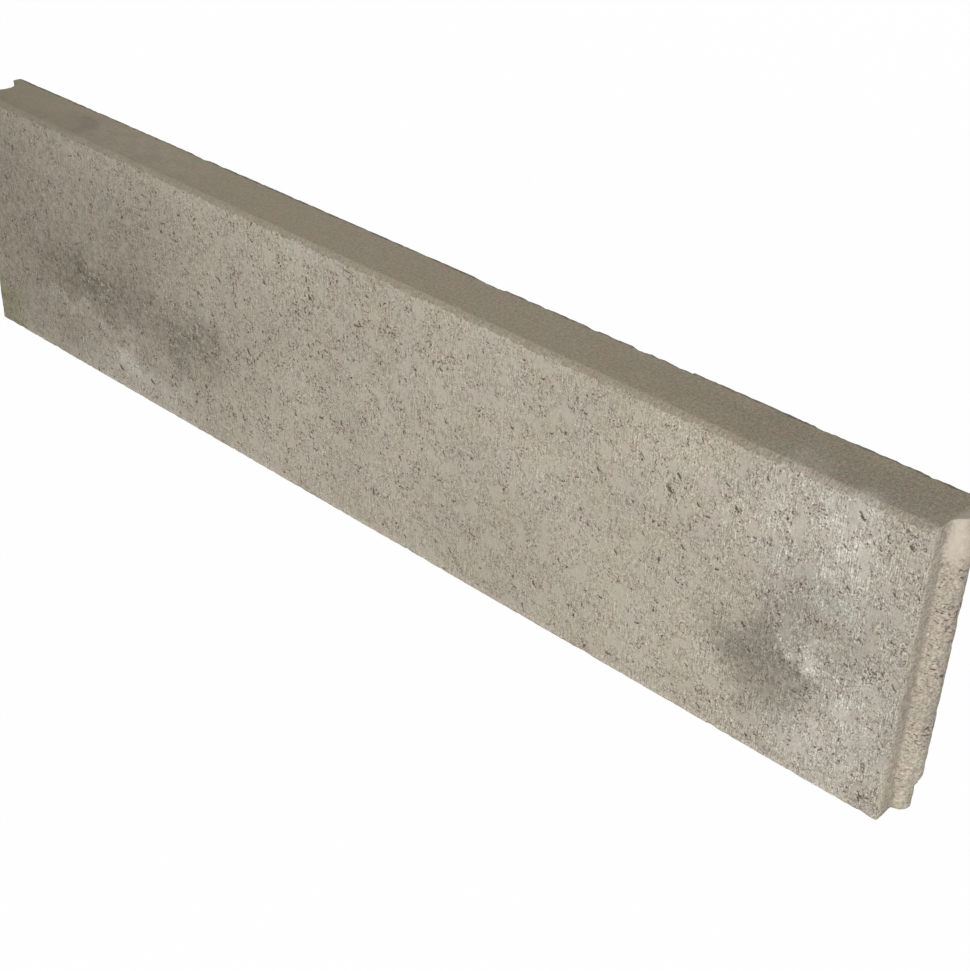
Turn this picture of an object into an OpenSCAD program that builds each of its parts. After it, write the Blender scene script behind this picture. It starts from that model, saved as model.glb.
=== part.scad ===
// Concrete kerb stone: one pressed bar with bevelled top edges. A half-round tongue on one end fits the
// half-round groove in the other end of the next stone.
// Lengths are in millimetres. The origin is the middle of the bed face, +X points to the tongue end,
// +Y to the back face and +Z up.

/* [Stone] */
// Laid length, between the two end faces
stone_l = 1000; // [400:10:1200]
// Height, from the bed face to the top face
stone_h = 230; // [150:5:400]
// Thickness, from the front face to the back face
stone_t = 55; // [45:1:120]

/* [Top edges] */
// Width of each top bevel, across the top face
bevel_w = 4; // [2:0.5:12]
// Drop of each top bevel, down the front or back face
bevel_drop = 4; // [2:0.5:12]

/* [Tongue and groove] */
// Radius of the half-round tongue
tongue_r = 12; // [9:0.5:18]
// Radius to which the tongue's head is drawn in at the top face
tongue_head_r = 7; // [4:0.5:9]
// Height over which the tongue's head is drawn in
tongue_head_h = 20; // [8:1:60]
// Room between a tongue and the groove that it fits
joint_gap = 2.5; // [1:0.5:4]

/* [Hidden] */
$fn = 96;
// Places of the end faces and the long faces
tongue_end_x = stone_l / 2;
groove_end_x = -stone_l / 2;
front_y = -stone_t / 2;
back_y = stone_t / 2;
// The groove takes the tongue of the next stone with the joint's room around it
groove_r = tongue_r + joint_gap;
// How far a cut runs past the faces that it opens, and how far the tongue is rooted in the stone
overrun = 2;

// The upright section across the stone, with both top edges bevelled
module section() {
    polygon([
        [front_y, 0],
        [back_y, 0],
        [back_y, stone_h - bevel_drop],
        [back_y - bevel_w, stone_h],
        [front_y + bevel_w, stone_h],
        [front_y, stone_h - bevel_drop]
    ]);
}

// The section drawn out along the laid length
module bar() {
    translate([groove_end_x, 0, 0])
        rotate([90, 0, 90])
            linear_extrude(stone_l) section();
}

// A full round post: straight below, drawn in at the head so that the next stone's groove finds it
module tongue_post() {
    rotate_extrude()
        polygon([
            [0, 0],
            [tongue_r, 0],
            [tongue_r, stone_h - tongue_head_h],
            [tongue_head_r, stone_h],
            [0, stone_h]
        ]);
}

// The half of the post that stands out of the end face, with a root that is buried in the stone
module tongue() {
    intersection() {
        translate([tongue_end_x, 0, 0]) tongue_post();
        translate([tongue_end_x - overrun, -tongue_r, 0])
            cube([tongue_r + overrun, 2 * tongue_r, stone_h]);
    }
}

// The half-round channel down the other end, open at the bed and at the top
module groove() {
    translate([groove_end_x, 0, -overrun])
        cylinder(r = groove_r, h = stone_h + 2 * overrun);
}

module kerb_stone() {
    color([0.63, 0.59, 0.52])
        difference() {
            union() {
                bar();
                tongue();
            }
            groove();
        }
}

kerb_stone();
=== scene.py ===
"""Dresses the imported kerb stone: a worn skin of pressed concrete, soft studio light and the camera."""
import math
from types import SimpleNamespace

import bpy
import numpy as np
from mathutils import Matrix, Vector, noise


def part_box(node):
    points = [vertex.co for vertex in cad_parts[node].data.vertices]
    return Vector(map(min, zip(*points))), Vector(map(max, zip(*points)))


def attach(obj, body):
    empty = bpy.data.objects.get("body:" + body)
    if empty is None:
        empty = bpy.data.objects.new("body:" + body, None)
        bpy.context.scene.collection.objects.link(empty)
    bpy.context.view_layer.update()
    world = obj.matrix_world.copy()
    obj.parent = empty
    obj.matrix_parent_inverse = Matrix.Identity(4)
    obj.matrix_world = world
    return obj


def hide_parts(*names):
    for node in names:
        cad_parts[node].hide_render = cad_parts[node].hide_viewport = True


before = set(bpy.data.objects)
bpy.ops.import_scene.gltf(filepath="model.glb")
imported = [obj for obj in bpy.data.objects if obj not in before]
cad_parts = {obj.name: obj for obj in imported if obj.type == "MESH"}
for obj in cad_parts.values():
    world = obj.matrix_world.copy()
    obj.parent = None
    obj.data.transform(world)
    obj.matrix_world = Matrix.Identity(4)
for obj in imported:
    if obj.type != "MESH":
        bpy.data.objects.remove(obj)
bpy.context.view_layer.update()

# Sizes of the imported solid, in millimetres
MM = 0.001
LOW, HIGH = (np.array(corner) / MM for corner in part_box("kerb_stone"))
END_X = -LOW[0]
TONGUE_R = HIGH[0] - END_X
HALF_T = HIGH[1]
TOP_Z = HIGH[2]
# Sizes that the solid has and its box doesn't tell
BEVEL = 4.0
HEAD_R = 7.0
HEAD_H = 20.0
JOINT_GAP = 2.5
GROOVE_R = TONGUE_R + JOINT_GAP
# Top of the long faces, and edge of the top face
FACE_TOP = TOP_Z - BEVEL
TOP_EDGE = HALF_T - BEVEL

# The skin is a lattice of points along, across and up the stone
STATIONS = 360
COLUMNS = 30
ROWS = 92
BEVEL_ROWS = 4
SHOULDER_COLUMNS = 8
# Places of the short steps beside an arris, so that its wear has points to move
FINE_STEP = 0.7
SECOND_STEP = 2.0
# How strongly a shoulder's columns close up towards the tongue's root
CLOSING_POWER = 1.6
# Length over which the columns spread from an end joint's half round to even steps
SPREAD = 60.0
# Distance between the sides' patches in the flat chart
CHART_STEP = 2000.0
# Scales of the chart on the ends, where the grain lies level
END_GRAIN = (0.55, 1.0)
# Scale of the chart across the top and the bed, where the grain lies no special way
LEVEL_GRAIN = 1.5

# Depths of the skin's relief under the solid's faces
WAVE_DEPTH = 0.5
ROUGH_DEPTH = 0.55
LUMP_DEPTH = 0.6
ARRIS_WEAR = 0.7
LIP_WEAR = 0.7
NIBBLE_DEPTH = 1.3
BACK_RIM_DEPTH = 2.6
CHIP_DEPTH = 2.0
HOLLOW_DEPTH = 0.9
# How much smoother the top, the bevels, the tongue's head and the bed are than the long faces
TOP_SMOOTHING = 0.75
BEVEL_SMOOTHING = 0.6
HEAD_SMOOTHING = 0.95
BED_SMOOTHING = 0.7
# Reaches of the wear from an arris
WEAR_REACH = 0.5
NIBBLE_REACH = 2.5
CHIP_REACH = 4.0
# Radius to which the upright arrises at the ends are worn
RIM_ROUND = 2.6
# How much of the wear the bevels have, and of the nibbling the front one
BEVEL_WEAR_SHARE = 0.4
FRONT_BEVEL_SHARE = 0.3
# Height under the bevels over which their own wear begins
BEVEL_BLEND = 3.0
# How uneven the wear of an arris is, and the noise between which a chip deepens
WEAR_UNEVENNESS = 0.5
CHIP_LIMITS = (0.35, 0.8)
# Places along the stone between which the back rim turns ragged
BACK_RIM_SPAN = (-100.0, 300.0)
# Sizes of the noise behind the relief
WAVE_SIZE = 110.0
ROUGH_SIZE = 9.0
NIBBLE_SIZE = 5.0
BACK_RIM_SIZE = 10.0
CHIP_SIZE = 24.0
# Shifts that keep these noises apart
ROUGH_SHIFT = 7.3
NIBBLE_SHIFT = 1.7
BACK_RIM_SHIFT = 5.9
CHIP_SHIFT = 3.1

# Torn hollows, each a dish with a grain in it
# Those that stand out on the front: middle along and up, and radius
FRONT_HOLLOWS = (
    ((92.0, 178.0), 3.2), ((98.0, 177.0), 2.4), ((311.0, 172.0), 4.2), ((317.0, 185.0), 3.2),
    ((-44.0, 184.0), 3.2), ((485.0, 14.0), 2.6), ((452.0, 217.0), 3.2), ((-98.0, 178.0), 2.8),
    ((465.0, 130.0), 2.4), ((250.0, 160.0), 2.8), ((364.0, 181.0), 3.0), ((-122.0, 107.0), 2.8),
    ((326.0, 132.0), 2.4), ((444.0, 191.0), 2.0), ((380.0, 97.0), 2.2), ((-305.0, 20.0), 3.6),
    ((334.0, 170.0), 2.2), ((482.0, 174.0), 2.2), ((405.0, 119.0), 2.2), ((486.0, 140.0), 2.2),
    ((12.0, 182.0), 2.4), ((353.0, 11.0), 2.2), ((487.0, 211.0), 2.4), ((-259.0, 24.0), 3.4),
    ((-358.0, 100.0), 3.0), ((394.0, 10.0), 2.2),
)
# Further ones on each long face: how many are tried, their radii, how far they are turned, and the seeds
HOLLOW_TRIES = 220
HOLLOW_RADII = (0.9, 2.4)
HOLLOW_TURN = 1.2
FRONT_SEED = 11
BACK_SEED = 12
# How far past its radius a hollow needs points of its own
HOLLOW_MARGIN = 4.5

# Hollow curve between the tongue's root and the shoulders, and at the head
ROOT_FILLET = 2.0
HEAD_FILLET = 5.0
# The tongue's broken foot: it draws in between two heights
FOOT_LOSS = 3.4
FOOT_LOW = 18.0
FOOT_HIGH = 29.0
# Heights under the top face between which the tongue's smooth head turns rough
HEAD_ROUGH = 38.0
HEAD_SMOOTH = 20.0
# Distances out of the end face between which the smooth head begins, and between which the lumps do
HEAD_SPAN = (-0.5, 2.0)
LUMP_SPAN = (0.5, 4.0)
LUMP_LEVEL = 0.5


def eased(value, start, end):
    """A smooth share that goes from 0 at start to 1 at end."""
    share = np.clip((value - start) / (end - start), 0.0, 1.0)
    return share * share * (3.0 - 2.0 * share)


def stepped(start, end, count):
    """Places from start to end in even steps, with two short ones at each end."""
    even = np.linspace(start + SECOND_STEP, end - SECOND_STEP, count - 3)
    return np.concatenate([[start, start + FINE_STEP], even, [end - FINE_STEP, end]])


def row_places():
    """Height of each row, and how far the bevel sets it in from the long faces."""
    upright = stepped(0.0, FACE_TOP, ROWS - BEVEL_ROWS)
    bevel = np.linspace(0.0, BEVEL, BEVEL_ROWS + 1)[1:]
    heights = np.concatenate([upright, FACE_TOP + bevel])
    insets = np.concatenate([np.zeros(len(upright)), bevel])
    return heights, insets


def tongue_radius(heights):
    """Radius of the tongue at each height: drawn in at the head, and broken away at the foot."""
    head = HEAD_R + (TONGUE_R - HEAD_R) * np.clip((TOP_Z - heights) / HEAD_H, 0.0, 1.0)
    return head - FOOT_LOSS * (1.0 - eased(heights, FOOT_LOW, FOOT_HIGH))


def end_grid(radius, insets, fillet):
    """Places across an end face, and how far its half round and root fillet reach, by column and row."""
    half = HALF_T - insets
    width = HALF_T - TONGUE_R
    fine = [0.0, FINE_STEP / width, SECOND_STEP / width]
    rest = np.linspace(0.0, 1.0, SHOULDER_COLUMNS - 1)[1:]
    closing = fine[-1] + (1.0 - fine[-1]) * (1.0 - (1.0 - rest) ** CLOSING_POWER)
    shares = np.concatenate([fine, closing])
    shoulder = np.outer(shares, half - radius) - half
    turn = np.linspace(-math.pi / 2, math.pi / 2, COLUMNS - 2 * SHOULDER_COLUMNS + 1)
    across = np.vstack([shoulder[:-1], np.outer(np.sin(turn), radius), -shoulder[-2::-1]])
    flat = np.zeros((SHOULDER_COLUMNS, len(radius)))
    reach = np.vstack([flat, np.outer(np.cos(turn), radius), flat])
    bell = radius * np.clip(1.0 - (across / (radius + fillet)) ** 2, 0.0, 1.0) ** 2
    return across, np.maximum(reach, bell)


def lattice_skin():
    """Numbers of the lattice's outer points as three index lists, and the faces of each side between them."""
    shape = (STATIONS + 1, COLUMNS + 1, ROWS + 1)
    along, across, up = np.indices(shape)
    outer = (along % STATIONS == 0) | (across % COLUMNS == 0) | (up % ROWS == 0)
    number = np.full(shape, -1)
    number[outer] = np.arange(outer.sum())
    sides = {
        "bed": (number[:, :, 0], True), "top": (number[:, :, -1], False),
        "front": (number[:, 0, :], False), "back": (number[:, -1, :], True),
        "groove": (number[0, :, :], True), "tongue": (number[-1, :, :], False),
    }
    faces = {}
    for name, (ids, turned) in sides.items():
        corners = [ids[:-1, :-1], ids[1:, :-1], ids[1:, 1:], ids[:-1, 1:]]
        if turned:
            corners.reverse()
        faces[name] = np.stack(corners, axis=-1).reshape(-1, 4)
    return along[outer], across[outer], up[outer], faces


def end_girth(y, radius):
    """Distance across an end face from its middle, along the half round and then the shoulder."""
    on_round = radius * np.arcsin(np.clip(y / radius, -1.0, 1.0))
    past_round = np.sign(y) * np.maximum(np.abs(y) - radius, 0.0)
    return on_round + past_round


def flat_chart(points, faces):
    """Flat places of every face corner, in millimetres, a patch for each side, for the fine textures."""
    x, y, z = points.T
    level, upright = END_GRAIN
    flat = {"bed": (x, y * LEVEL_GRAIN), "top": (x, y * LEVEL_GRAIN), "front": (x, z), "back": (x, z),
            "groove": (end_girth(y, GROOVE_R) * level, z * upright),
            "tongue": (end_girth(y, TONGUE_R) * level, z * upright)}
    patches = []
    for place, (name, corners) in enumerate(faces.items()):
        first, second = flat[name]
        patch = [first[corners] + place * CHART_STEP, second[corners], np.zeros(corners.shape)]
        patches.append(np.stack(patch, axis=-1).reshape(-1, 3))
    return np.vstack(patches)


def rounded(first, second, radius):
    """Distances from two square faces, with the arris between them rounded off."""
    depth = np.minimum(first, second)
    left = np.maximum(radius - depth, 0.0)
    along = np.abs(first - second)
    bent = along < left
    turn = math.pi / 4 * (1.0 - along[bent] / left[bent])
    near = depth.copy()
    far = np.maximum(first, second)
    near[bent] += left[bent] * (1.0 - np.cos(turn))
    far[bent] = depth[bent] + left[bent] * (1.0 - np.sin(turn))
    return np.where(first >= second, far, near), np.where(first >= second, near, far)


def skin_points(along, across, up):
    """Places of the skin's points on the plain solid, and their stations along it, in millimetres."""
    heights, insets = row_places()
    station = stepped(-END_X, END_X, STATIONS)[along]
    even = np.outer(stepped(-HALF_T, HALF_T, COLUMNS) / HALF_T, HALF_T - insets)
    at_head = eased(heights, TOP_Z - HEAD_ROUGH, TOP_Z - HEAD_SMOOTH)
    fillet = ROOT_FILLET + (HEAD_FILLET - ROOT_FILLET) * at_head
    tongue_y, tongue_x = end_grid(tongue_radius(heights), insets, fillet)
    groove_y, groove_x = end_grid(np.full(ROWS + 1, GROOVE_R), insets, 0.0)
    by_tongue = 1.0 - eased(END_X - station, 0.0, SPREAD)
    by_groove = 1.0 - eased(station + END_X, 0.0, SPREAD)
    y = even[across, up]
    y += by_tongue * (tongue_y[across, up] - even[across, up])
    y += by_groove * (groove_y[across, up] - even[across, up])
    half = HALF_T - insets[up]
    from_end, from_side = rounded(END_X - np.abs(station), half - np.abs(y), RIM_ROUND)
    x = np.sign(station) * (END_X - from_end)
    x += by_tongue * tongue_x[across, up] + by_groove * groove_x[across, up]
    y = np.sign(y) * (half - from_side)
    return np.column_stack([x, y, heights[up]]), station


def sampled(points, size, octaves=1, shift=0.0):
    """Noise from about -1 to 1 at each point, with forms about as wide as size."""
    places = points / size + shift
    return np.array([noise.fractal(Vector(place), 1.0, 2.0, octaves) for place in places])


def arris_distance(station, points):
    """Distance of each point from the nearest arris of the bed, of a bevel or of the top at an end."""
    from_end = END_X - np.abs(station)
    across = np.abs(points[:, 1])
    height = points[:, 2]
    bed_arris = np.maximum(height, np.minimum(from_end, HALF_T - across))
    top_end = np.hypot(TOP_Z - height, from_end)
    upper_line = np.hypot(across - TOP_EDGE, height - TOP_Z)
    lower_line = np.hypot(across - HALF_T, height - FACE_TOP)
    return np.minimum.reduce([bed_arris, top_end, upper_line, lower_line])


def scattered_hollows(placed, seed):
    """Hollows as middle, radius and turn: the placed ones, and further ones that are clear of all others."""
    draw = np.random.RandomState(seed)
    hollows = [(middle, radius, 0.0) for middle, radius in placed]
    for _ in range(HOLLOW_TRIES):
        middle = (draw.uniform(-END_X, END_X), draw.uniform(0.0, FACE_TOP))
        radius = draw.uniform(*HOLLOW_RADII)
        turn = draw.uniform(-HOLLOW_TURN, HOLLOW_TURN)
        if all(math.dist(middle, other[0]) > radius + other[1] + 2.0 * HOLLOW_MARGIN for other in hollows):
            hollows.append((middle, radius, turn))
    return hollows


def hollow_places(points, on_face, hollows):
    """Places of the points in their hollow, in radii, with a 1 where they have one, and the dish's share."""
    local = np.zeros((len(points), 3))
    dish = np.zeros(len(points))
    for middle, radius, turn in hollows:
        offset = points[:, [0, 2]] - middle
        distance = np.hypot(*offset.T)
        near = on_face & (distance < radius + HOLLOW_MARGIN)
        turned = offset[near] @ np.array(Matrix.Rotation(turn, 2)) / radius
        local[near] = np.column_stack([turned, np.ones(len(turned))])
        dish[near] = np.clip(1.0 - (distance[near] / radius) ** 2, 0.0, 1.0)
    return local, dish


def wear_depth(station, points, fine):
    """How far the arrises are worn, nibbled and chipped away."""
    distance = arris_distance(station, points)
    from_rim = np.maximum(END_X - np.abs(station), HALF_T - np.abs(points[:, 1]))
    from_edge = np.minimum(distance, from_rim)
    nibbles = sampled(points, NIBBLE_SIZE, 2, NIBBLE_SHIFT)
    chips = sampled(points, CHIP_SIZE, 2, CHIP_SHIFT)
    along_top = eased(points[:, 2], FACE_TOP - BEVEL_BLEND, FACE_TOP)
    front_top = along_top * (points[:, 1] < 0.0)
    depth = ARRIS_WEAR * np.exp(-distance / WEAR_REACH) * (1.0 + WEAR_UNEVENNESS * fine)
    depth *= 1.0 - (1.0 - BEVEL_WEAR_SHARE) * along_top
    nibbled = NIBBLE_DEPTH * np.maximum(nibbles, 0.0) * np.exp(-from_edge / NIBBLE_REACH)
    depth += nibbled * (1.0 - (1.0 - FRONT_BEVEL_SHARE) * front_top)
    ragged = np.maximum(sampled(points, BACK_RIM_SIZE, 3, BACK_RIM_SHIFT), 0.0)
    ragged *= np.exp(-distance / NIBBLE_REACH)
    back_top = along_top * (points[:, 1] > 0.0) * eased(points[:, 0], *BACK_RIM_SPAN)
    depth += BACK_RIM_DEPTH * ragged * back_top
    near = np.clip(1.0 - from_edge / CHIP_REACH, 0.0, 1.0)
    return depth + CHIP_DEPTH * eased(chips, *CHIP_LIMITS) * near * (1.0 - front_top)


def lip_depth(along, points, fine):
    """How far the two lips of the groove are worn round."""
    from_lip = np.abs(np.abs(end_girth(points[:, 1], GROOVE_R)) - GROOVE_R * math.pi / 2)
    return (along == 0) * LIP_WEAR * np.exp(-from_lip / WEAR_REACH) * (1.0 + WEAR_UNEVENNESS * fine)


# Marks on the front face: middle along and up, reach along and up, and strength
SMUDGES = (
    ((-380.0, 140.0), (370.0, 170.0), 0.4),
    ((-500.0, 110.0), (130.0, 240.0), 0.25),
    ((-330.0, 45.0), (220.0, 70.0), 0.22),
    ((-370.0, 96.0), (84.0, 40.0), 0.44),
    ((-290.0, 94.0), (115.0, 40.0), 0.4),
    ((-200.0, 84.0), (66.0, 46.0), 0.55),
    ((-352.0, 95.0), (36.0, 22.0), 0.45),
    ((397.0, 77.0), (72.0, 54.0), 0.6),
    ((410.0, 86.0), (44.0, 26.0), 0.36),
    ((428.0, 132.0), (50.0, 42.0), 0.22),
    ((-500.0, 26.0), (10.0, 34.0), 0.5),
)
FILMS = (
    ((470.0, 120.0), (150.0, 260.0), 0.34),
    ((449.0, 137.0), (24.0, 24.0), 0.3),
)
BLOOMS = (
    ((446.0, 194.0), (26.0, 52.0), 0.48),
    ((449.0, 140.0), (18.0, 20.0), 0.3),
    ((410.0, 184.0), (84.0, 66.0), 0.34),
    ((470.0, 68.0), (20.0, 26.0), 0.62),
    ((456.0, 66.0), (16.0, 14.0), 0.4),
    ((430.0, 97.0), (15.0, 11.0), 0.6),
    ((467.0, 90.0), (34.0, 34.0), 0.25),
    ((452.0, 28.0), (66.0, 56.0), 0.46),
    ((-265.0, 16.0), (130.0, 40.0), 0.32),
    ((-340.0, 58.0), (130.0, 14.0), 0.25),
    ((-293.0, 22.0), (36.0, 22.0), 0.35),
)
SPECKS = (
    ((432.0, 97.0), (40.0, 28.0), 0.6),
    ((-335.0, 96.0), (60.0, 34.0), 0.4),
    ((-254.0, 85.0), (40.0, 24.0), 0.4),
    ((-195.0, 88.0), (50.0, 40.0), 0.4),
)
MOSSES = (
    ((-495.0, 18.0), (60.0, 48.0), 0.6),
)
# Patches with larger pores
OPEN_PATCHES = (
    ((-130.0, 130.0), (300.0, 190.0), 0.42),
    ((-50.0, 181.0), (28.0, 16.0), 1.0),
    ((94.0, 179.0), (26.0, 10.0), 1.0),
    ((188.0, 185.0), (16.0, 14.0), 1.0),
    ((310.0, 178.0), (18.0, 18.0), 1.0),
    ((362.0, 182.0), (14.0, 12.0), 1.0),
    ((472.0, 106.0), (30.0, 14.0), 1.0),
    ((490.0, 212.0), (16.0, 9.0), 1.0),
    ((486.0, 16.0), (30.0, 26.0), 1.0),
    ((-100.0, 40.0), (30.0, 18.0), 1.0),
    ((60.0, 60.0), (26.0, 16.0), 1.0),
)
# Marks on the top face: painted shade towards both ends and painted light left of the middle, which even out
# the lamp's fall-off along the top, and a dark smear near the groove end; middle along and across, reach
# along and across, and strength
TOP_SMUDGES_AND_SHADE = (
    ((-490.0, 0.0), (130.0, 60.0), 0.16),
    ((-367.0, -4.0), (32.0, 36.0), 0.45),
    ((-330.0, 4.0), (80.0, 12.0), 0.14),
    ((460.0, 0.0), (330.0, 32.0), 0.24),
)
# A paler patch of painted light on the top, laid on in the lime bloom's colour
TOP_PAINTED_LIGHT = (
    ((-290.0, -6.0), (130.0, 40.0), 0.1),
)
# How far a mark shows round the corner of its face, and the shares of its reach between which it fades
MARK_DEPTH = 54.0
MARK_FADE = (0.2, 1.0)
# How ragged the marks are: size, octaves and seed of the noise, and how far it pushes them
STRAY_SIZE = 30.0
STRAY_OCTAVES = 3
STRAY_SEED = 3
STRAY_REACH = 18.0


def mark_share(places, marks, over_top=False):
    """How strongly a list of marks covers each place, where 1 is wholly covered."""
    bare = np.ones(len(places))
    for (x, other), (reach_x, reach_other), strength in marks:
        if over_top:
            away = (places - (x, other, TOP_Z)) / (reach_x, reach_other, MARK_DEPTH)
        else:
            away = (places - (x, -HALF_T, other)) / (reach_x, MARK_DEPTH, reach_other)
        bare *= 1.0 - strength * (1.0 - eased(np.linalg.norm(away, axis=1), *MARK_FADE))
    return 1.0 - bare


def mark_shares(points):
    """The shares of all marks at each point, by the names that the material reads."""
    noise.seed_set(STRAY_SEED)
    places = points / STRAY_SIZE
    pushes = [noise.turbulence_vector(Vector(place), STRAY_OCTAVES, False) for place in places]
    strayed = points + STRAY_REACH * np.array(pushes)
    smudge = mark_share(strayed, SMUDGES)
    bloom = mark_share(strayed, BLOOMS)
    return {
        # The top's smudges are partly painted shade, and its bloom is painted light
        "smudge_and_shade_share": np.maximum(smudge, mark_share(strayed, TOP_SMUDGES_AND_SHADE, True)),
        "bloom_and_light_share": np.maximum(bloom, mark_share(strayed, TOP_PAINTED_LIGHT, True)),
        "film_share": mark_share(strayed, FILMS),
        "speck_share": mark_share(strayed, SPECKS),
        "moss_share": mark_share(strayed, MOSSES),
        "open_share": mark_share(points, OPEN_PATCHES),
    }


def make_skin():
    """The stone's visible mesh: the solid's own shape with its wear, waves and hollows worked in."""
    along, across, up, faces = lattice_skin()
    points, station = skin_points(along, across, up)
    mesh = bpy.data.meshes.new("kerb_stone_skin")
    mesh.from_pydata(points * MM, [], np.vstack(list(faces.values())))
    mesh.update()
    normals = np.empty(len(points) * 3)
    mesh.vertex_normals.foreach_get("vector", normals)
    normals = normals.reshape(-1, 3)

    on_long_face = across % COLUMNS == 0
    top = (up == ROWS).astype(float)
    bevel = (on_long_face & (up > ROWS - BEVEL_ROWS) & (up < ROWS)).astype(float)
    bed = (up == 0).astype(float)
    out_of_end = points[:, 0] - END_X
    high = eased(points[:, 2], TOP_Z - HEAD_ROUGH, TOP_Z - HEAD_SMOOTH)
    head = high * eased(out_of_end, *HEAD_SPAN)
    lumpy = eased(out_of_end, *LUMP_SPAN) * (1.0 - high)
    smooth = [TOP_SMOOTHING * top, BEVEL_SMOOTHING * bevel, HEAD_SMOOTHING * head, BED_SMOOTHING * bed]
    rough = 1.0 - np.maximum.reduce(smooth)
    below_bevel = up <= ROWS - BEVEL_ROWS
    front_hollows = scattered_hollows(FRONT_HOLLOWS, FRONT_SEED)
    back_hollows = scattered_hollows((), BACK_SEED)
    front_local, front_dish = hollow_places(points, (across == 0) & below_bevel, front_hollows)
    back_local, back_dish = hollow_places(points, (across == COLUMNS) & below_bevel, back_hollows)

    fine = sampled(points, ROUGH_SIZE, 3, ROUGH_SHIFT)
    depth = WAVE_DEPTH * 0.5 * (1.0 + sampled(points, WAVE_SIZE)) * (1.0 - bed)
    depth += ROUGH_DEPTH * rough * np.abs(fine)
    depth += LUMP_DEPTH * lumpy * (LUMP_LEVEL + fine)
    depth += wear_depth(station, points, fine)
    depth += lip_depth(along, points, fine)
    depth += HOLLOW_DEPTH * (front_dish + back_dish)
    worn = points - normals * np.maximum(depth, 0.0)[:, None]
    worn = np.clip(worn, LOW, HIGH)
    mesh.vertices.foreach_set("co", (worn * MM).ravel())
    mesh.polygons.foreach_set("use_smooth", np.ones(len(mesh.polygons), dtype=bool))
    mesh.update()

    for name, values in {"head_share": head, **mark_shares(points)}.items():
        attribute = mesh.attributes.new(name, "FLOAT", "POINT")
        attribute.data.foreach_set("value", values)
    hollow = mesh.attributes.new("hollow", "FLOAT_VECTOR", "POINT")
    hollow.data.foreach_set("vector", (front_local + back_local).ravel())
    end_share = mesh.attributes.new("end_share", "FLOAT", "FACE")
    on_end = [np.full(len(side), float(name in ("groove", "tongue"))) for name, side in faces.items()]
    end_share.data.foreach_set("value", np.concatenate(on_end))
    chart = mesh.attributes.new("chart", "FLOAT_VECTOR", "CORNER")
    chart.data.foreach_set("vector", flat_chart(points, faces).ravel())
    stone = bpy.data.objects.new("kerb_stone_skin", mesh)
    bpy.context.collection.objects.link(stone)
    return stone


def linear(red, green, blue):
    """A colour from its usual 0 to 255 values, as the shader's linear colour."""
    shares = [value / 255.0 for value in (red, green, blue)]
    spread = [share / 12.92 if share <= 0.04045 else ((share + 0.055) / 1.055) ** 2.4 for share in shares]
    return (*spread, 1.0)


class Shading:
    """Adds nodes to one material, each linked as it is made."""

    def __init__(self, name):
        self.material = bpy.data.materials.new(name)
        self.material.use_nodes = True
        self.tree = self.material.node_tree
        self.tree.nodes.clear()

    def add(self, kind, inputs, **settings):
        """A node with its settings, and its inputs as values or as sockets to link."""
        node = self.tree.nodes.new(kind)
        for name, value in settings.items():
            setattr(node, name, value)
        for name, value in inputs.items():
            socket = node.inputs[name]
            if isinstance(value, bpy.types.NodeSocket):
                self.tree.links.new(value, socket)
            else:
                socket.default_value = value
        return node

    def math(self, operation, first, second=0.0):
        return self.add("ShaderNodeMath", {0: first, 1: second}, operation=operation).outputs[0]

    def plus(self, first, second):
        return self.math("ADD", first, second)

    def minus(self, first, second):
        return self.math("SUBTRACT", first, second)

    def times(self, first, second):
        return self.math("MULTIPLY", first, second)

    def larger(self, first, second):
        return self.math("MAXIMUM", first, second)

    def size(self, value):
        return self.math("ABSOLUTE", value)

    def ramp(self, value, start, end, low=0.0, high=1.0):
        """A smooth share of a value between two limits."""
        inputs = {"Value": value, "From Min": start, "From Max": end, "To Min": low, "To Max": high}
        return self.add("ShaderNodeMapRange", inputs, interpolation_type="SMOOTHSTEP").outputs[0]

    def line(self, value, start, end, low, high):
        """A straight share of a value between two limits."""
        inputs = {"Value": value, "From Min": start, "From Max": end, "To Min": low, "To Max": high}
        return self.add("ShaderNodeMapRange", inputs).outputs[0]

    def from_one(self, share, full):
        """A factor that goes from 1 where there is no share to another value where the share is full."""
        return self.line(share, 0.0, 1.0, 1.0, full)

    def mix(self, share, first, second, blend="MIX"):
        """One colour laid over another."""
        inputs = {0: share, 6: first, 7: second}
        return self.add("ShaderNodeMix", inputs, data_type="RGBA", blend_type=blend).outputs[2]

    def toned(self, colour, tone):
        """A colour made darker or lighter by a tone around 1."""
        return self.add("ShaderNodeVectorMath", {0: colour, "Scale": tone}, operation="SCALE").outputs[0]

    def stretched(self, vector, x, y):
        return self.add("ShaderNodeVectorMath", {0: vector, 1: (x, y, 1.0)}, operation="MULTIPLY").outputs[0]

    def moved(self, vector, x, y):
        return self.add("ShaderNodeVectorMath", {0: vector, 1: (x, y, 0.0)}, operation="ADD").outputs[0]

    def noise(self, vector, size, detail=2.0, roughness=0.5):
        """Noise from 0 to 1 with forms about as wide as size, in millimetres."""
        inputs = {"Vector": vector, "Scale": 1.0 / size, "Detail": detail, "Roughness": roughness}
        return self.add("ShaderNodeTexNoise", inputs, noise_dimensions="2D").outputs["Fac"]

    def share(self, name):
        """A share that the skin's points or faces carry."""
        return self.add("ShaderNodeAttribute", {}, attribute_name=name).outputs["Fac"]


# Concrete colours, as they look in even light
BODY = linear(175, 167, 153)
BODY_PALE = linear(186, 178, 165)
BODY_DARK = linear(166, 158, 144)
# Dark of the pores, also used for painted shade in the hollows and along the back rim
PORE_AND_SHADE = linear(68, 64, 51)
SMUDGE = linear(110, 103, 88)
GREY_FILM = linear(146, 143, 135)
LIME = linear(204, 200, 190)
MOSS = linear(122, 121, 92)
TOP_BROWN = linear(159, 146, 127)
TOP_OLIVE = linear(153, 145, 126)
BEVEL_TONE = linear(153, 144, 128)
HEAD_TONE = linear(190, 180, 164)
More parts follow.
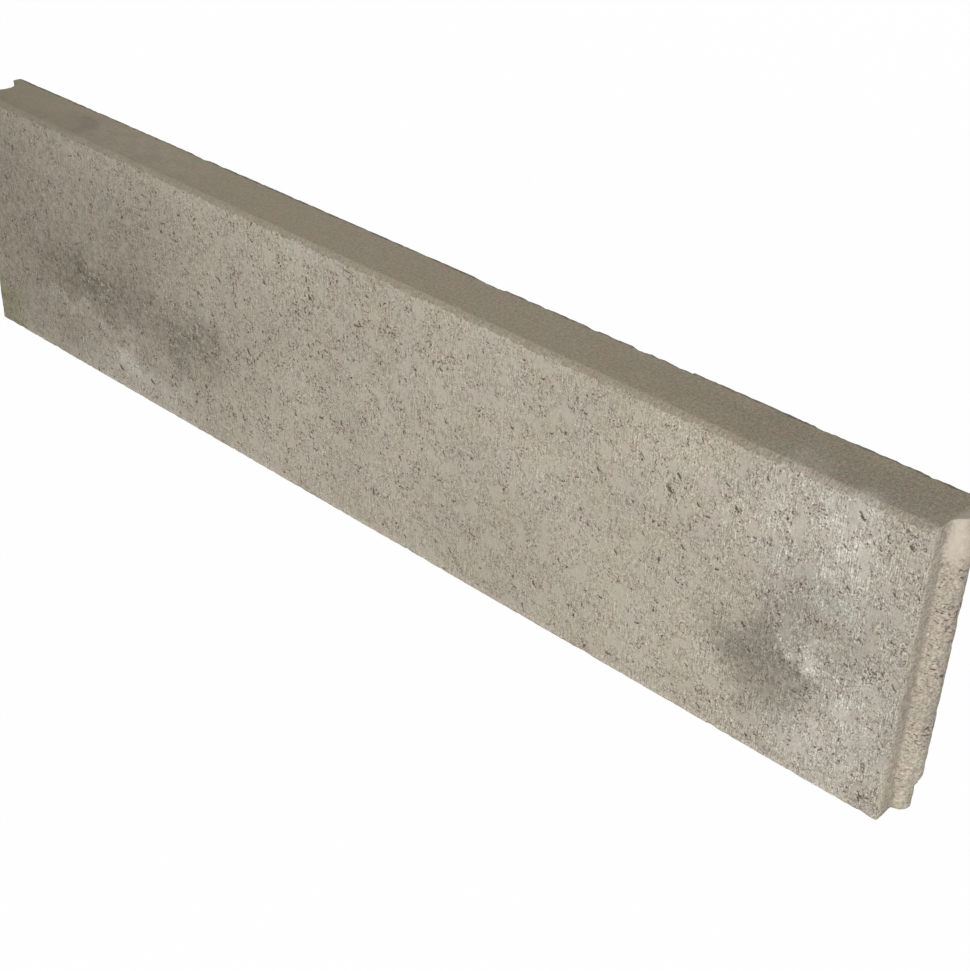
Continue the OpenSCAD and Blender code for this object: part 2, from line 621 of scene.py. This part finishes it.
# Tints that the colours are multiplied by
WARM_TINT = (1.01, 1.0, 0.985, 1.0)
COOL_TINT = (0.995, 1.0, 1.005, 1.0)
PINK_TINT = (1.018, 0.99, 0.996, 1.0)
GREEN_TINT = (0.984, 1.006, 0.987, 1.0)
END_TINT = (0.99, 0.973, 0.972, 1.0)


# Below, a noise is given as size in millimetres, detail and roughness. Limits are the values between which a
# share goes from none to full, followed by the shares at both where these aren't 0 and 1.

# Noises that break up the marks, and how strongly
GRIME_NOISE = (6.0, 3.0, 0.6)
GRIME_LIMITS = (0.3, 0.7, 0.7, 1.3)
HAZE_NOISE = (14.0, 3.0, 0.6)
HAZE_LIMITS = (0.35, 0.65, 0.4, 1.0)
HAZE_UPRIGHT = 0.6
SPECK_NOISE = (4.5, 3.0, 0.7)
SPECK_LIMITS = (0.55, 0.66)


def marked(s, colour, chart):
    """The colour with the smudges, films, moss and lime bloom that the skin carries laid over it, and the
    painted shade and light of the top face.
    """
    grime = s.line(s.noise(chart, *GRIME_NOISE), *GRIME_LIMITS)
    haze = s.ramp(s.noise(s.stretched(chart, 1.0, HAZE_UPRIGHT), *HAZE_NOISE), *HAZE_LIMITS)
    speck = s.ramp(s.noise(chart, *SPECK_NOISE), *SPECK_LIMITS)
    layers = ((SMUDGE, grime, "smudge_and_shade_share"), (GREY_FILM, grime, "film_share"), (MOSS, grime, "moss_share"),
              (LIME, haze, "bloom_and_light_share"), (LIME, speck, "speck_share"))
    off_end = s.minus(1.0, s.share("end_share"))
    for paint, texture, name in layers:
        shown = s.times(s.times(s.share(name), off_end), texture)
        colour = s.mix(shown, colour, paint)
    return colour


# Pores: clusters, what an open patch adds to them, and how they close and open the holes
CLUSTER_NOISE = (15.0, 2.0)
OPEN_PUSH = 0.16
CLOSED_LIMITS = (0.35, 0.75, 0.09, -0.09)
HOLE_NOISE = (2.5, 2.0, 0.6)
HOLE_LIMITS = (0.355, 0.25)
LARGE_NOISE = (4.2, 1.0)
LARGE_LIMITS = (0.25, 0.2)
LARGE_CLOSED = 0.6
# Cracks: the grains that they follow, the step that finds one side of a grain, and their strength by cluster
GRAIN_NOISE = (5.5, 1.0)
GRAIN_MIDDLE = 0.5
CRACK_STEP = 0.8
CRACK_LIMITS = (0.035, 0.01)
CRACK_SIDE = (0.03, 0.07)
CRACK_STRENGTH = (0.38, 0.54, 0.0, 0.8)


def pore_mask(s, chart):
    """Ragged pores of many sizes, and short cracks on one side of the grains, where the concrete is open."""
    cluster = s.plus(s.noise(chart, *CLUSTER_NOISE), s.times(s.share("open_share"), OPEN_PUSH))
    closed = s.line(cluster, *CLOSED_LIMITS)
    hole = s.ramp(s.plus(s.noise(chart, *HOLE_NOISE), closed), *HOLE_LIMITS)
    large = s.ramp(s.plus(s.noise(chart, *LARGE_NOISE), s.times(closed, LARGE_CLOSED)), *LARGE_LIMITS)
    grain = s.noise(chart, *GRAIN_NOISE)
    rise = s.minus(s.noise(s.moved(chart, CRACK_STEP, CRACK_STEP), *GRAIN_NOISE), grain)
    outline = s.ramp(s.size(s.minus(grain, GRAIN_MIDDLE)), *CRACK_LIMITS)
    crack = s.times(outline, s.ramp(rise, *CRACK_SIDE))
    return s.larger(s.larger(hole, large), s.times(crack, s.ramp(cluster, *CRACK_STRENGTH)))


# Crescents of painted shade in the hollows, where each grain shades its dish, in radii: how ragged they are,
# where the grain lies, and limits of dish and grain
CRESCENT_NOISE = (1.8, 2.0)
CRESCENT_STRAY = (0.2, 0.8, -0.5, 0.5)
GRAIN_SHIFT = (0.4, 0.4, 0.0)
DISH_LIMITS = (1.05, 0.85)
GRAIN_LIMITS = (0.85, 1.0)
# Limits that keep a hollow to the faces whose points all belong to it
OWN_LIMITS = (0.98, 0.999)


def hollow_shade_mask(s, chart):
    """Painted shade: the dark crescent of each torn hollow, at the low left of its grain, where the grain
    shades the dish.
    """
    local = s.add("ShaderNodeAttribute", {}, attribute_name="hollow").outputs["Vector"]
    place = s.add("ShaderNodeSeparateXYZ", {0: local})
    ragged = s.line(s.noise(chart, *CRESCENT_NOISE), *CRESCENT_STRAY)
    inputs = {0: s.plus(place.outputs[0], ragged), 1: s.minus(place.outputs[1], ragged)}
    flat = s.add("ShaderNodeCombineXYZ", inputs).outputs[0]
    from_middle = s.add("ShaderNodeVectorMath", {0: flat}, operation="LENGTH").outputs["Value"]
    inputs = {0: flat, 1: GRAIN_SHIFT}
    from_grain = s.add("ShaderNodeVectorMath", inputs, operation="DISTANCE").outputs["Value"]
    crescent = s.times(s.ramp(from_middle, *DISH_LIMITS), s.ramp(from_grain, *GRAIN_LIMITS))
    return s.times(crescent, s.ramp(place.outputs[2], *OWN_LIMITS))


# Edges of the top and its bevels, and how far they waver, in millimetres
WAVY_NOISE = (7.0, 2.0)
WAVY_REACH = (0.2, 0.8, -1.3, 1.3)
UPPER_LIMITS = (-0.4, 0.3)
TOP_LIMITS = (0.6, -0.6)
# Broken crease at the foot of a bevel
CREASE_RISE = 0.3
CREASE_LIMITS = (0.8, 0.1)
CREASE_NOISE = (16.0, 2.0)
CREASE_GAPS = (0.42, 0.58)
CREASE_STRENGTH = 0.3
# Painted shade: a dark line along the worn, rounded back rim of the top face
RIM_SHADE_STRAY = 0.8
RIM_SHADE_INNER_LIMITS = (3.4, 1.6)
RIM_SHADE_OUTER_LIMITS = (-1.6, -0.6)
RIM_SHADE_NOISE = (9.0, 3.0, 0.6)
RIM_SHADE_GAPS = (0.36, 0.62, 0.45, 1.0)
RIM_SHADE_STRENGTH = 0.68
# Smooth strip above the bed
STRIP_STRAY = 2.0
STRIP_LIMITS = (6.5, 4.0)
STRIP_NOISE = (70.0, 2.0)
STRIP_GAPS = (0.3, 0.5)


def edge_shares(s, place, chart):
    """Shares of the top face, its bevels, the crease at the bevels' foot and the painted shade along the back
    rim, and the strip above the bed.
    """
    wavy = s.line(s.noise(chart, *WAVY_NOISE), *WAVY_REACH)
    long_side = s.minus(1.0, s.share("end_share"))
    above = s.plus(s.minus(place.z, FACE_TOP), wavy)
    inset = s.plus(s.minus(s.size(place.y), TOP_EDGE), wavy)
    upper = s.times(s.ramp(above, *UPPER_LIMITS), long_side)
    top = s.times(upper, s.ramp(inset, *TOP_LIMITS))

    crease = s.ramp(s.size(s.plus(above, CREASE_RISE)), *CREASE_LIMITS)
    crease = s.times(crease, s.ramp(s.noise(chart, *CREASE_NOISE), *CREASE_GAPS))
    # The back rim's dark line is painted shade of its worn, rounded edge
    from_rim = s.plus(s.minus(TOP_EDGE, place.y), s.times(wavy, RIM_SHADE_STRAY))
    rim_shade = s.times(s.ramp(from_rim, *RIM_SHADE_INNER_LIMITS), s.ramp(from_rim, *RIM_SHADE_OUTER_LIMITS))
    rim_shade = s.times(rim_shade, s.ramp(s.noise(chart, *RIM_SHADE_NOISE), *RIM_SHADE_GAPS))
    # line holds the crease at the bevel's foot and the back rim's painted shade
    line = s.larger(s.times(crease, CREASE_STRENGTH), s.times(s.times(rim_shade, upper), RIM_SHADE_STRENGTH))

    low = s.ramp(s.plus(place.z, s.times(wavy, STRIP_STRAY)), *STRIP_LIMITS)
    strip = s.times(s.times(low, long_side), s.ramp(s.noise(chart, *STRIP_NOISE), *STRIP_GAPS))
    return top, s.minus(upper, top), s.times(line, long_side), strip


# Smooth patches, the shoulders beside the tongue, and the weathered end, in millimetres along the stone
PATCH_NOISE = (12.0, 3.0, 0.6)
PATCH_LIMITS = (0.54, 0.62)
PATCH_UPRIGHT = 0.8
SHOULDER_LIMITS = (TONGUE_R - 0.5, TONGUE_R + 2.0)
WEATHERED_LIMITS = (250.0, 420.0)
STRIP_SMOOTHING = 0.8


def smooth_parts(s, place, chart):
    """Shares of the parts that differ from the plain rough face."""
    top, bevel, line, strip = edge_shares(s, place, chart)
    head = s.share("head_share")
    on_end = s.share("end_share")
    upper = s.larger(top, bevel)
    rough = s.minus(1.0, s.larger(upper, s.larger(head, s.times(strip, STRIP_SMOOTHING))))
    patch = s.ramp(s.noise(s.stretched(chart, 1.0, PATCH_UPRIGHT), *PATCH_NOISE), *PATCH_LIMITS)
    patch = s.times(patch, s.times(rough, s.minus(1.0, on_end)))
    return SimpleNamespace(
        top=top, bevel=bevel, line=line, strip=strip, head=head, on_end=on_end, upper=upper, rough=rough,
        patch=patch, shoulder=s.times(on_end, s.ramp(s.size(place.y), *SHOULDER_LIMITS)),
        weathered=s.ramp(place.x, *WEATHERED_LIMITS))


# How dark the pores stay in the smooth patches, on the shoulders, and on the weathered end and the end faces
PATCH_PORES = 0.3
SHOULDER_PORES = 0.3
WEATHERED_PORES = 0.95


def dark_mask(s, chart, parts):
    """Pores where the concrete is rough, and the crescents of painted shade in the hollows."""
    dark = s.times(pore_mask(s, chart), parts.rough)
    dark = s.times(dark, s.from_one(parts.patch, PATCH_PORES))
    dark = s.times(dark, s.from_one(parts.shoulder, SHOULDER_PORES))
    dark = s.times(dark, s.from_one(s.larger(parts.weathered, parts.on_end), WEATHERED_PORES))
    return s.larger(dark, hollow_shade_mask(s, chart))


# Broad tones, the paler patches and strip, and how the end faces pale towards the foot, in millimetres up
BROAD_NOISE = (110.0, 3.0)
BROAD_LIMITS = (0.3, 0.7)
PATCH_PALE = 0.35
STRIP_PALE = 0.6
END_TONES = (40.0, 150.0, 0.08, -0.045)
# Patches of hue on the top, and patches of tint all over
TOP_HUE_NOISE = (14.0, 2.0)
SMALL_TINT_NOISE = (15.0, 2.0)
HUE_LIMITS = (0.35, 0.65)
TINT_NOISE = (34.0, 1.0)
TINT_LIMITS = (0.3, 0.7)


def base_colour(s, place, chart, parts):
    """The colour before grain and pores: broad tones, the smoother parts, the marks and the tints."""
    colour = s.mix(s.ramp(s.noise(chart, *BROAD_NOISE), *BROAD_LIMITS), BODY_DARK, BODY)
    colour = s.mix(s.times(parts.patch, PATCH_PALE), colour, BODY_PALE)
    colour = s.mix(parts.on_end, colour, s.mix(1.0, colour, END_TINT, "MULTIPLY"))
    colour = s.toned(colour, s.plus(1.0, s.times(parts.on_end, s.line(place.z, *END_TONES))))
    hue = s.ramp(s.noise(chart, *TOP_HUE_NOISE), *HUE_LIMITS)
    colour = s.mix(parts.top, colour, s.mix(hue, TOP_OLIVE, TOP_BROWN))
    colour = s.mix(parts.bevel, colour, BEVEL_TONE)
    colour = s.mix(s.times(parts.strip, STRIP_PALE), colour, BODY_PALE)
    colour = s.mix(parts.head, colour, HEAD_TONE)
    colour = marked(s, colour, chart)
    tint = s.mix(s.ramp(s.noise(chart, *TINT_NOISE), *TINT_LIMITS), COOL_TINT, WARM_TINT)
    colour = s.mix(1.0, colour, tint, "MULTIPLY")
    small_tint = s.mix(s.ramp(s.noise(chart, *SMALL_TINT_NOISE), *HUE_LIMITS), GREEN_TINT, PINK_TINT)
    return s.mix(1.0, colour, small_tint, "MULTIPLY")


# Grain: how upright its noises are drawn out, and the tones that they give
FINE_NOISE = (1.05, 2.0)
FINE_UPRIGHT = 0.65
FINE_TONES = (0.2, 0.8, 0.63, 1.37)
COARSE_NOISE = (2.6, 2.0, 0.6)
COARSE_UPRIGHT = 0.6
COARSE_TONES = (0.2, 0.8, 0.74, 1.26)
# Drag marks, and the patches in which they are strong
DRAG_NOISE = (0.95, 1.0)
DRAG_UPRIGHT = 0.09
DRAG_MIDDLE = 0.5
DRAGGED_NOISE = (26.0, 2.0)
DRAGGED_UPRIGHT = 0.5
DRAGGED_LIMITS = (0.4, 0.62, 0.2, 0.75)
# How strong the grain is in smooth patches, on the weathered end, on the tongue's head and on the end faces
PATCH_GRAIN = 0.3
WEATHERED_GRAIN = 1.4
HEAD_GRAIN = 0.25
END_GRAIN_SHARE = 0.75
# How strong the top's grain and grit are, from the groove end to past the middle
UPPER_GRAIN = (-450.0, 100.0, 0.32, 0.68)
GRIT_NOISE = (1.7, 2.0)
GRIT_LIMITS = (0.33, 0.25)


def grain_share(s, parts, upper_grain):
    """How strong the grain is: most on the weathered end, least on the smooth parts."""
    grain = s.times(s.from_one(parts.patch, PATCH_GRAIN), s.from_one(parts.weathered, WEATHERED_GRAIN))
    grain = s.times(grain, s.minus(1.0, s.times(parts.upper, s.minus(1.0, upper_grain))))
    grain = s.times(grain, s.from_one(parts.head, HEAD_GRAIN))
    return s.times(grain, s.from_one(parts.on_end, END_GRAIN_SHARE))


def drag_marks(s, chart, parts):
    """Upright marks of the mould on the long faces, around 0."""
    drag = s.minus(s.noise(s.stretched(chart, 1.0, DRAG_UPRIGHT), *DRAG_NOISE), DRAG_MIDDLE)
    dragged = s.ramp(s.noise(s.stretched(chart, 1.0, DRAGGED_UPRIGHT), *DRAGGED_NOISE), *DRAGGED_LIMITS)
    return s.times(drag, s.times(dragged, s.minus(1.0, s.larger(parts.on_end, parts.upper))))


# How much of the pores' dark colour shows, also in the hollows' painted shade, and the relief of the grain on
# smooth and rough parts and on the ends
PORE_COVER = 0.85
GRAIN_RELIEF = (0.0, 1.0, 0.2, 0.4)
END_RELIEF = 0.25
BUMP_STRENGTH = 0.5
BUMP_DEPTH = 0.6
# Roughness of the open and the closed concrete
ROUGHNESS = (0.0, 1.0, 0.94, 0.82)
SPECULAR = 0.25


def concrete_material():
    """Pressed concrete: mottled, dragged upright, with smooth patches, clustered pores, stains and bloom."""
    s = Shading("pressed_concrete")
    where = s.add("ShaderNodeTexCoord", {}).outputs["Object"]
    mm = s.add("ShaderNodeVectorMath", {0: where, "Scale": 1.0 / MM}, operation="SCALE").outputs[0]
    axes = s.add("ShaderNodeSeparateXYZ", {0: mm}).outputs
    place = SimpleNamespace(x=axes[0], y=axes[1], z=axes[2])
    chart = s.add("ShaderNodeAttribute", {}, attribute_name="chart").outputs["Vector"]
    parts = smooth_parts(s, place, chart)
    dark = dark_mask(s, chart, parts)

    # Grain and pores over the base colour, with the painted shade of the hollows and of the back rim
    fine = s.noise(s.stretched(chart, 1.0, FINE_UPRIGHT), *FINE_NOISE)
    coarse = s.noise(s.stretched(chart, 1.0, COARSE_UPRIGHT), *COARSE_NOISE)
    upper_grain = s.line(place.x, *UPPER_GRAIN)
    grain = grain_share(s, parts, upper_grain)
    tone = s.times(s.line(fine, *FINE_TONES), s.line(coarse, *COARSE_TONES))
    tone = s.times(tone, s.plus(1.0, drag_marks(s, chart, parts)))
    colour = base_colour(s, place, chart, parts)
    colour = s.toned(colour, s.plus(1.0, s.times(grain, s.minus(tone, 1.0))))
    # Pores, and the painted shade of the hollows, in the dark colour
    colour = s.mix(s.times(dark, PORE_COVER), colour, PORE_AND_SHADE)
    grit = s.times(s.ramp(s.noise(chart, *GRIT_NOISE), *GRIT_LIMITS), parts.upper)
    # The crease, the back rim's painted shade and the top's grit, in the dark colour
    colour = s.mix(s.larger(parts.line, s.times(grit, upper_grain)), colour, PORE_AND_SHADE)

    # Relief too fine for the mesh
    height = s.times(s.plus(fine, coarse), s.times(grain, s.line(parts.rough, *GRAIN_RELIEF)))
    height = s.minus(s.times(height, s.from_one(parts.on_end, END_RELIEF)), dark)
    inputs = {"Height": height, "Strength": BUMP_STRENGTH, "Distance": BUMP_DEPTH * MM}
    bump = s.add("ShaderNodeBump", inputs)
    closed = s.larger(s.larger(parts.head, parts.upper), parts.patch)
    shader = s.add("ShaderNodeBsdfPrincipled", {
        "Base Color": colour, "Roughness": s.larger(s.line(closed, *ROUGHNESS), dark),
        "Specular IOR Level": SPECULAR, "Normal": bump.outputs[0]})
    s.add("ShaderNodeOutputMaterial", {"Surface": shader.outputs[0]})
    return s.material


# Stage and light, in metres, degrees and watts
FLOOR_REACH = 6.0
FLOOR_COLOUR = linear(217, 217, 217)
FLOOR_GLOW = 0.985
WHITE = (1.0, 1.0, 1.0, 1.0)
WORLD_LIGHT = 0.46
LAMP_DISTANCE = 3.0
LAMP_SIZE = 2.0
KEY_AZIMUTH = 32.0
KEY_ELEVATION = 14.0
KEY_POWER = 66.0
BACK_AZIMUTH = 205.0
BACK_ELEVATION = 6.0
BACK_POWER = 40.0


def seen_directly(tree):
    """A share that is 1 for what the camera sees, straight, mirrored or through glass."""
    path = tree.nodes.new("ShaderNodeLightPath")
    total = path.outputs["Is Camera Ray"]
    for name in ("Is Glossy Ray", "Is Transmission Ray"):
        both = tree.nodes.new("ShaderNodeMath")
        both.operation = "ADD"
        both.use_clamp = True
        tree.links.new(total, both.inputs[0])
        tree.links.new(path.outputs[name], both.inputs[1])
        total = both.outputs[0]
    return total


def make_floor():
    """A pale floor that looks white to the camera and keeps the stone's shadow."""
    corners = [(-FLOOR_REACH, -FLOOR_REACH, 0.0), (FLOOR_REACH, -FLOOR_REACH, 0.0),
               (FLOOR_REACH, FLOOR_REACH, 0.0), (-FLOOR_REACH, FLOOR_REACH, 0.0)]
    mesh = bpy.data.meshes.new("floor")
    mesh.from_pydata(corners, [], [(0, 1, 2, 3)])
    s = Shading("studio_floor")
    matt = s.add("ShaderNodeBsdfDiffuse", {"Color": FLOOR_COLOUR})
    glow = s.add("ShaderNodeEmission", {"Color": WHITE, "Strength": 1.0})
    share = s.times(seen_directly(s.tree), FLOOR_GLOW)
    both = s.add("ShaderNodeMixShader", {0: share, 1: matt.outputs[0], 2: glow.outputs[0]})
    s.add("ShaderNodeOutputMaterial", {"Surface": both.outputs[0]})
    mesh.materials.append(s.material)
    floor = bpy.data.objects.new("floor", mesh)
    bpy.context.collection.objects.link(floor)


def make_world():
    """Even pale light from all round, white where the camera sees it."""
    world = bpy.data.worlds.new("studio")
    world.use_nodes = True
    tree = world.node_tree
    tree.nodes.clear()
    lit = tree.nodes.new("ShaderNodeBackground")
    lit.inputs["Strength"].default_value = WORLD_LIGHT
    seen = tree.nodes.new("ShaderNodeBackground")
    for background in (lit, seen):
        background.inputs["Color"].default_value = WHITE
    both = tree.nodes.new("ShaderNodeMixShader")
    out = tree.nodes.new("ShaderNodeOutputWorld")
    tree.links.new(seen_directly(tree), both.inputs[0])
    tree.links.new(lit.outputs[0], both.inputs[1])
    tree.links.new(seen.outputs[0], both.inputs[2])
    tree.links.new(both.outputs[0], out.inputs["Surface"])
    bpy.context.scene.world = world


def from_side(azimuth, elevation):
    """Rotation of a lamp or camera that looks at the stone from this side, in degrees."""
    turn = Matrix.Rotation(math.radians(azimuth), 3, "Z")
    return turn @ Matrix.Rotation(math.radians(90.0 - elevation), 3, "X")


def make_lamp(name, azimuth, elevation, power):
    """A square lamp that shines on the stone from one side."""
    lamp = bpy.data.lights.new(name, "AREA")
    lamp.shape = "SQUARE"
    lamp.size = LAMP_SIZE
    lamp.energy = power
    rotation = from_side(azimuth, elevation)
    holder = bpy.data.objects.new(name, lamp)
    centre = Vector((0.0, 0.0, TOP_Z * MM / 2))
    place = centre + rotation @ Vector((0.0, 0.0, LAMP_DISTANCE))
    holder.matrix_world = Matrix.LocRotScale(place, rotation.to_quaternion(), None)
    bpy.context.collection.objects.link(holder)


# Camera, fitted to the straight edges of the stone in the photograph
CAMERA_PLACE = (0.85399, -0.81904, 0.77397)
CAMERA_AZIMUTH = 41.836
CAMERA_ELEVATION = 32.455
CAMERA_ROLL = 2.235
CAMERA_LENS = 63.06


def make_camera():
    """The camera at the photograph's place and angle."""
    lens = bpy.data.cameras.new("camera")
    lens.lens = CAMERA_LENS
    camera = bpy.data.objects.new("camera", lens)
    roll = Matrix.Rotation(math.radians(CAMERA_ROLL), 3, "Z")
    rotation = from_side(CAMERA_AZIMUTH, CAMERA_ELEVATION) @ roll
    camera.matrix_world = Matrix.LocRotScale(Vector(CAMERA_PLACE), rotation.to_quaternion(), None)
    bpy.context.collection.objects.link(camera)
    bpy.context.scene.camera = camera


stone = make_skin()
stone.data.materials.append(concrete_material())
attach(stone, "root")
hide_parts("kerb_stone")
make_floor()
make_world()
make_lamp("key_lamp", KEY_AZIMUTH, KEY_ELEVATION, KEY_POWER)
make_lamp("back_lamp", BACK_AZIMUTH, BACK_ELEVATION, BACK_POWER)
make_camera()
bpy.context.scene.view_settings.view_transform = "Standard"
